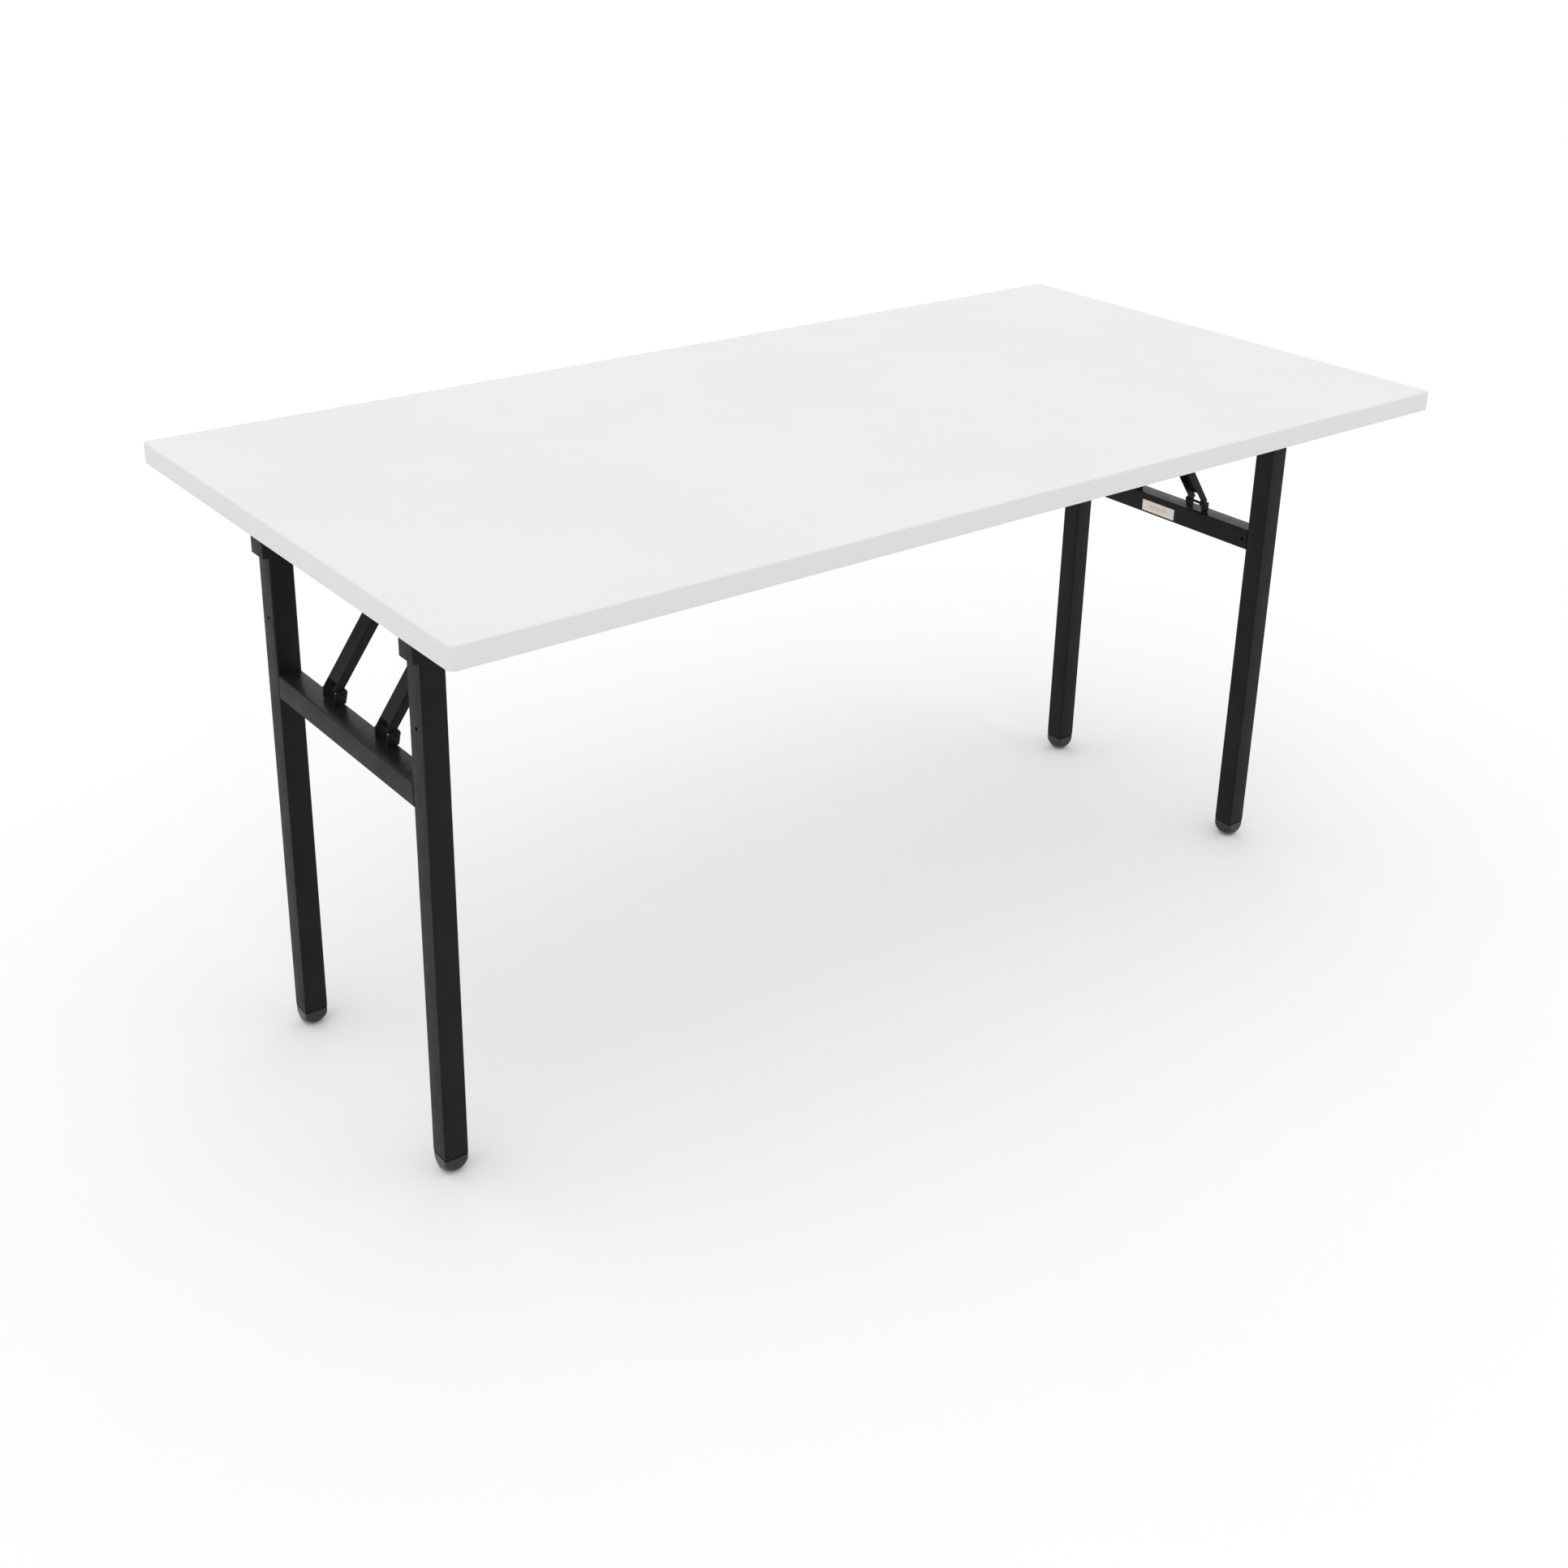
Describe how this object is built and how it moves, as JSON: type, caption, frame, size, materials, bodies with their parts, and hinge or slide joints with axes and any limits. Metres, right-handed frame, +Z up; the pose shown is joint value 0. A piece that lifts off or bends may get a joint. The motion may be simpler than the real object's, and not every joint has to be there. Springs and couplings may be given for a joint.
{
  "type": "folding table",
  "caption": "Rectangular folding table: white laminate top on black square-tube leg frames that fold flat under it, tied by channel braces.",
  "frame": {"origin": "on the floor under the middle of the top", "axes": "+X along the table's length, +Y across its depth away from the front, +Z up"},
  "size_m": [1.5, 0.75, 0.74],
  "materials": {
    "white_melamine": "satin white melamine",
    "white_edge_band": "satin white plastic edging",
    "particle_board": "raw particle board",
    "underside_laminate": "matt white balancing sheet",
    "black_powder_coat": "satin black powder coat",
    "zinc_steel": "zinc plated",
    "spring_steel": "blued spring steel",
    "black_plastic": "moulded, slightly glossy",
    "nylon": "moulded nylon",
    "label_paper": "paper label, blank"
  },
  "bodies": {
    "table": {"top_core": "particle_board", "top_laminate": "white_melamine", "underside_laminate": "underside_laminate", "edge_band": "white_edge_band", "brace_guide_left_front": "black_powder_coat", "brace_guide_left_rear": "black_powder_coat", "brace_guide_right_front": "black_powder_coat", "brace_guide_right_rear": "black_powder_coat", "catch_spring_left_front": "spring_steel", "catch_spring_left_rear": "spring_steel", "catch_spring_right_front": "spring_steel", "catch_spring_right_rear": "spring_steel", "hinge_housing_left_front": "black_powder_coat", "hinge_housing_left_rear": "black_powder_coat", "hinge_housing_right_front": "black_powder_coat", "hinge_housing_right_rear": "black_powder_coat", "hinge_bolt_left_front": "zinc_steel", "hinge_bolt_left_rear": "zinc_steel", "hinge_bolt_right_front": "zinc_steel", "hinge_bolt_right_rear": "zinc_steel", "hinge_nut_left_front": "zinc_steel", "hinge_nut_left_rear": "zinc_steel", "hinge_nut_right_front": "zinc_steel", "hinge_nut_right_rear": "zinc_steel"},
    "leg_frame_left": {"leg_left_front": "black_powder_coat", "leg_left_rear": "black_powder_coat", "crossbar_left": "black_powder_coat", "foot_glide_left_front": "black_plastic", "foot_glide_left_rear": "black_plastic", "brace_lug_left_front": "black_powder_coat", "brace_lug_left_rear": "black_powder_coat", "lug_pin_left_front": "black_powder_coat", "lug_pin_left_rear": "black_powder_coat"},
    "brace_set_left": {"brace_left_front": "black_powder_coat", "brace_left_rear": "black_powder_coat", "cross_rod_left": "zinc_steel", "slide_bush_left_front": "nylon", "slide_bush_left_rear": "nylon"},
    "leg_frame_right": {"leg_right_front": "black_powder_coat", "leg_right_rear": "black_powder_coat", "crossbar_right": "black_powder_coat", "foot_glide_right_front": "black_plastic", "foot_glide_right_rear": "black_plastic", "brace_lug_right_front": "black_powder_coat", "brace_lug_right_rear": "black_powder_coat", "lug_pin_right_front": "black_powder_coat", "lug_pin_right_rear": "black_powder_coat", "label": "label_paper"},
    "brace_set_right": {"brace_right_front": "black_powder_coat", "brace_right_rear": "black_powder_coat", "cross_rod_right": "zinc_steel", "slide_bush_right_front": "nylon", "slide_bush_right_rear": "nylon"}
  },
  "joints": [
    {"name": "fold_left", "type": "hinge", "parent": "table", "child": "leg_frame_left", "pos_m": [-0.675, 0, 0.655], "axis": [0, -1, 0], "range_deg": [0, 90]},
    {"name": "brace_swing_left", "type": "hinge", "parent": "leg_frame_left", "child": "brace_set_left", "pos_m": [-0.662, 0, 0.51], "axis": [0, -1, 0], "range_deg": [-138.7, 0]},
    {"name": "fold_right", "type": "hinge", "parent": "table", "child": "leg_frame_right", "pos_m": [0.675, 0, 0.655], "axis": [0, 1, 0], "range_deg": [0, 90]},
    {"name": "brace_swing_right", "type": "hinge", "parent": "leg_frame_right", "child": "brace_set_right", "pos_m": [0.662, 0, 0.51], "axis": [0, 1, 0], "range_deg": [-138.7, 0]}
  ],
  "couplings": [
    {"joint": "brace_swing_left", "follows": "fold_left", "ratio": -1.5389},
    {"joint": "brace_swing_right", "follows": "fold_right", "ratio": -1.5389}
  ]
}
